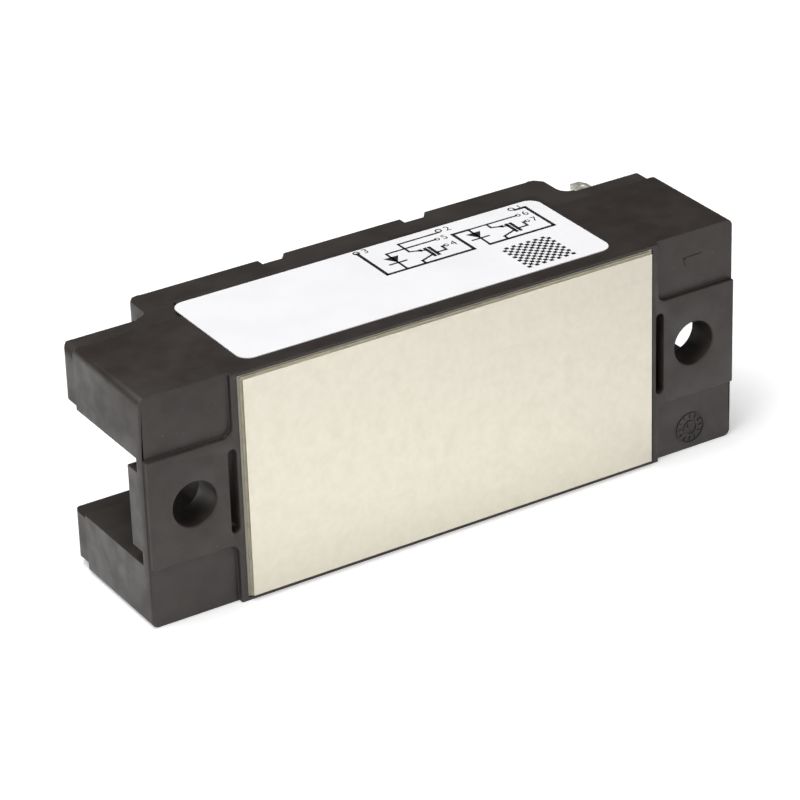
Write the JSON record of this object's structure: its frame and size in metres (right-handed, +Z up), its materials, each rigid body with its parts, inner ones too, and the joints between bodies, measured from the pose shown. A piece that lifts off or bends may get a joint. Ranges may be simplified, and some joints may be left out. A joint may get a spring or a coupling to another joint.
{
  "type": "igbt module",
  "caption": "Half-bridge power module: black moulded case and lid with two screw flanges, plated base plate, screw terminals, plug tabs and a white label.",
  "frame": {"origin": "centre of the base plate's outer face, the heatsink face", "axes": "+X along the module, towards the end with the plug tabs; +Y from the heatsink face to the power terminals; +Z up out of the long side with the label, as the module lies on its other long side"},
  "size_m": [0.094, 0.03, 0.0341],
  "materials": {
    "housing": "matt black moulding with a fine eroded texture",
    "plating": "dull nickel plating on copper, lightly smudged",
    "ceramic": "matt alumina",
    "glue": "pale silicone",
    "copper": "bare copper",
    "silicon": "polished silicon",
    "bond_wire": "drawn aluminium wire",
    "terminal": "nickel-plated copper strip",
    "steel": "zinc-plated steel",
    "tab": "tinned brass",
    "gel": "clear silicone gel",
    "label": "white film label"
  },
  "bodies": {
    "root": {"case": "housing", "lid": "housing", "base_plate": "plating", "ceramic": "ceramic", "glue_bead": "glue", "island_phase": "copper", "island_minus": "copper", "island_plus": "copper", "signal_tracks": "copper", "igbt_low": "silicon", "igbt_high": "silicon", "diode_low": "silicon", "diode_high": "silicon", "bonds_low": "bond_wire", "bonds_high": "bond_wire", "signal_bonds": "bond_wire", "terminal_1": "terminal", "terminal_2": "terminal", "terminal_3": "terminal", "captive_nuts": "steel", "tab_4": "tab", "tab_5": "tab", "tab_6": "tab", "tab_7": "tab", "gel": "gel", "label": "label"}
  },
  "joints": []
}
